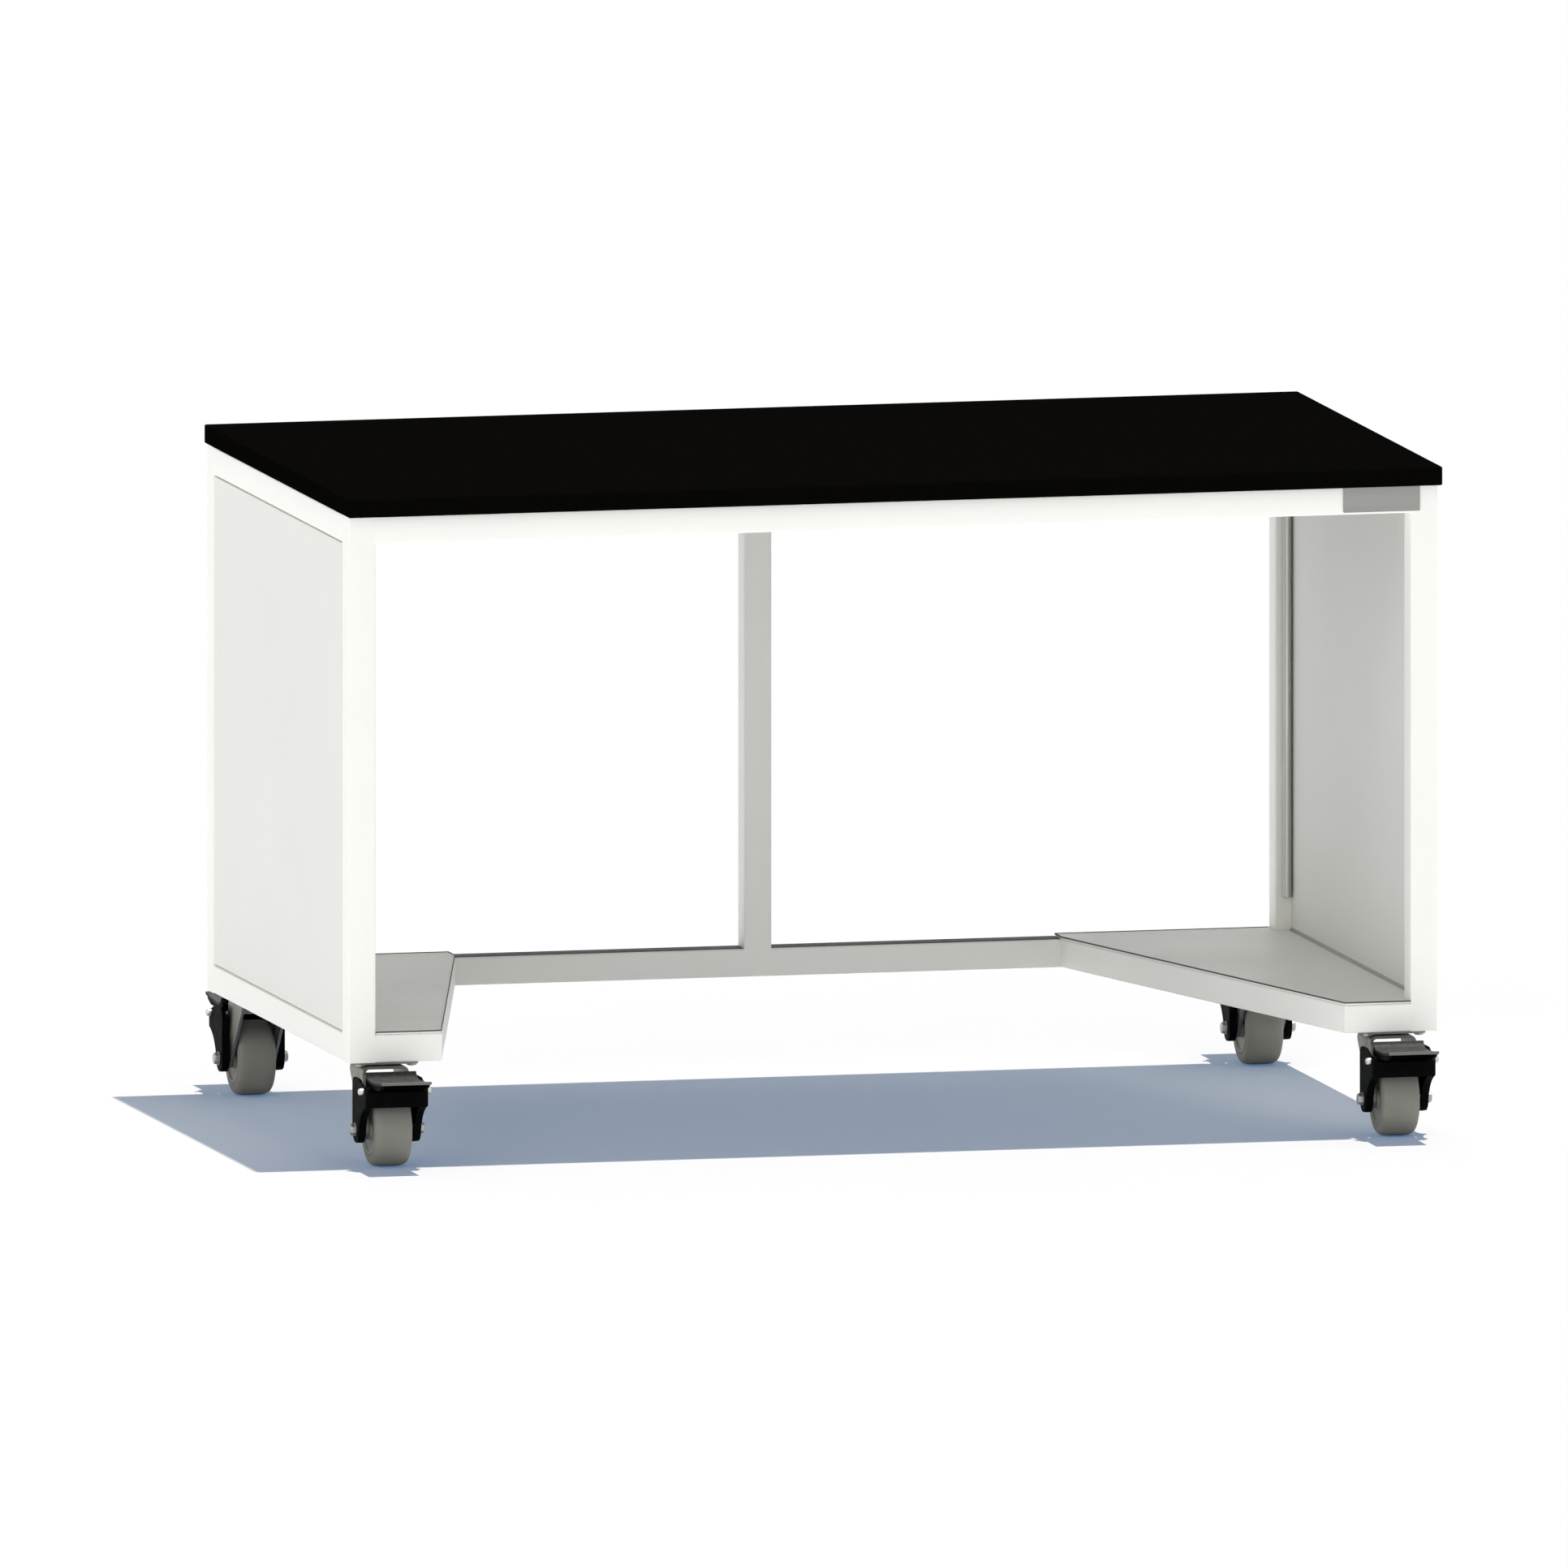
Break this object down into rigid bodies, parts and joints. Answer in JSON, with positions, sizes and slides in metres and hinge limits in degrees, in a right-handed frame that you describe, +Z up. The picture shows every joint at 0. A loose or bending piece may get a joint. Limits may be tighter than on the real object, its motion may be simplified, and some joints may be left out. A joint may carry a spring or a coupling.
{
  "type": "mobile lab bench",
  "caption": "Mobile laboratory bench: a thick black worktop on a white square-tube frame with closed ends, low corner shelves and braked swivel casters.",
  "frame": {"origin": "on the floor under the middle of the frame", "axes": "+X to the right along the worktop, +Y to the rear, +Z up"},
  "size_m": [1.524, 1.0202, 0.9144],
  "materials": {
    "worktop_resin": "smooth black solid resin",
    "frame_paint": "white powder coat",
    "panel_laminate": "white laminate",
    "satin_aluminium": "satin",
    "zinc_plate": "zinc plated pressed steel",
    "bright_steel": "bright zinc",
    "hub_plastic": "moulded grey",
    "grey_tread": "moulded grey rubber",
    "black_plastic": "moulded black"
  },
  "bodies": {
    "bench_frame": {"worktop": "worktop_resin", "post_front_left": "frame_paint", "post_front_right": "frame_paint", "post_rear_left": "frame_paint", "post_rear_right": "frame_paint", "post_rear_centre": "frame_paint", "rail_top_front": "frame_paint", "rail_top_rear": "frame_paint", "rail_top_left": "frame_paint", "rail_top_right": "frame_paint", "rail_top_centre": "frame_paint", "rail_bottom_rear": "frame_paint", "rail_bottom_left": "frame_paint", "rail_bottom_right": "frame_paint", "toe_rail_left": "frame_paint", "toe_rail_right": "frame_paint", "slant_rail_left": "frame_paint", "slant_rail_right": "frame_paint", "corner_shelf_left": "frame_paint", "corner_shelf_right": "frame_paint", "caster_mount_front_left": "frame_paint", "caster_mount_front_right": "frame_paint", "caster_mount_rear_left": "frame_paint", "caster_mount_rear_right": "frame_paint", "side_panel_left": "panel_laminate", "side_panel_right": "panel_laminate", "badge_plate": "satin_aluminium", "cable_conduit": "satin_aluminium", "caster_plate_front_left": "zinc_plate", "caster_plate_front_right": "zinc_plate", "caster_plate_rear_left": "zinc_plate", "caster_plate_rear_right": "zinc_plate"},
    "swivel_front_left": {"caster_fork_front_left": "zinc_plate", "axle_bolt_front_left": "bright_steel", "brake_cover_front_left": "black_plastic", "brake_pin_front_left": "bright_steel"},
    "swivel_front_right": {"caster_fork_front_right": "zinc_plate", "axle_bolt_front_right": "bright_steel", "brake_cover_front_right": "black_plastic", "brake_pin_front_right": "bright_steel"},
    "swivel_rear_left": {"caster_fork_rear_left": "zinc_plate", "axle_bolt_rear_left": "bright_steel", "brake_cover_rear_left": "black_plastic", "brake_pin_rear_left": "bright_steel"},
    "swivel_rear_right": {"caster_fork_rear_right": "zinc_plate", "axle_bolt_rear_right": "bright_steel", "brake_cover_rear_right": "black_plastic", "brake_pin_rear_right": "bright_steel"},
    "wheel_front_left": {"wheel_hub_front_left": "hub_plastic", "tyre_front_left": "grey_tread"},
    "wheel_front_right": {"wheel_hub_front_right": "hub_plastic", "tyre_front_right": "grey_tread"},
    "wheel_rear_left": {"wheel_hub_rear_left": "hub_plastic", "tyre_rear_left": "grey_tread"},
    "wheel_rear_right": {"wheel_hub_rear_right": "hub_plastic", "tyre_rear_right": "grey_tread"},
    "pedal_front_left": {"brake_pedal_front_left": "black_plastic"},
    "pedal_front_right": {"brake_pedal_front_right": "black_plastic"},
    "pedal_rear_left": {"brake_pedal_rear_left": "black_plastic"},
    "pedal_rear_right": {"brake_pedal_rear_right": "black_plastic"}
  },
  "joints": [
    {"name": "swivel_turn_front_left", "type": "hinge", "parent": "bench_frame", "child": "swivel_front_left", "pos_m": [-0.70168, -0.34608, 0.1], "axis": [0, 0, 1], "continuous": true},
    {"name": "swivel_turn_front_right", "type": "hinge", "parent": "bench_frame", "child": "swivel_front_right", "pos_m": [0.70168, -0.34608, 0.1], "axis": [0, 0, 1], "continuous": true},
    {"name": "swivel_turn_rear_left", "type": "hinge", "parent": "bench_frame", "child": "swivel_rear_left", "pos_m": [-0.70168, 0.34608, 0.1], "axis": [0, 0, 1], "continuous": true},
    {"name": "swivel_turn_rear_right", "type": "hinge", "parent": "bench_frame", "child": "swivel_rear_right", "pos_m": [0.70168, 0.34608, 0.1], "axis": [0, 0, 1], "continuous": true},
    {"name": "wheel_spin_front_left", "type": "hinge", "parent": "swivel_front_left", "child": "wheel_front_left", "pos_m": [-0.70168, -0.39408, 0.0508], "axis": [1, 0, 0], "continuous": true},
    {"name": "wheel_spin_front_right", "type": "hinge", "parent": "swivel_front_right", "child": "wheel_front_right", "pos_m": [0.70168, -0.39408, 0.0508], "axis": [1, 0, 0], "continuous": true},
    {"name": "wheel_spin_rear_left", "type": "hinge", "parent": "swivel_rear_left", "child": "wheel_rear_left", "pos_m": [-0.70168, 0.39408, 0.0508], "axis": [1, 0, 0], "continuous": true},
    {"name": "wheel_spin_rear_right", "type": "hinge", "parent": "swivel_rear_right", "child": "wheel_rear_right", "pos_m": [0.70168, 0.39408, 0.0508], "axis": [1, 0, 0], "continuous": true},
    {"name": "brake_press_front_left", "type": "hinge", "parent": "swivel_front_left", "child": "pedal_front_left", "pos_m": [-0.70168, -0.43957, 0.10768], "axis": [1, 0, 0], "range_deg": [0, 11]},
    {"name": "brake_press_front_right", "type": "hinge", "parent": "swivel_front_right", "child": "pedal_front_right", "pos_m": [0.70168, -0.43957, 0.10768], "axis": [1, 0, 0], "range_deg": [0, 11]},
    {"name": "brake_press_rear_left", "type": "hinge", "parent": "swivel_rear_left", "child": "pedal_rear_left", "pos_m": [-0.70168, 0.43957, 0.10768], "axis": [-1, 0, 0], "range_deg": [0, 11]},
    {"name": "brake_press_rear_right", "type": "hinge", "parent": "swivel_rear_right", "child": "pedal_rear_right", "pos_m": [0.70168, 0.43957, 0.10768], "axis": [-1, 0, 0], "range_deg": [0, 11]}
  ]
}
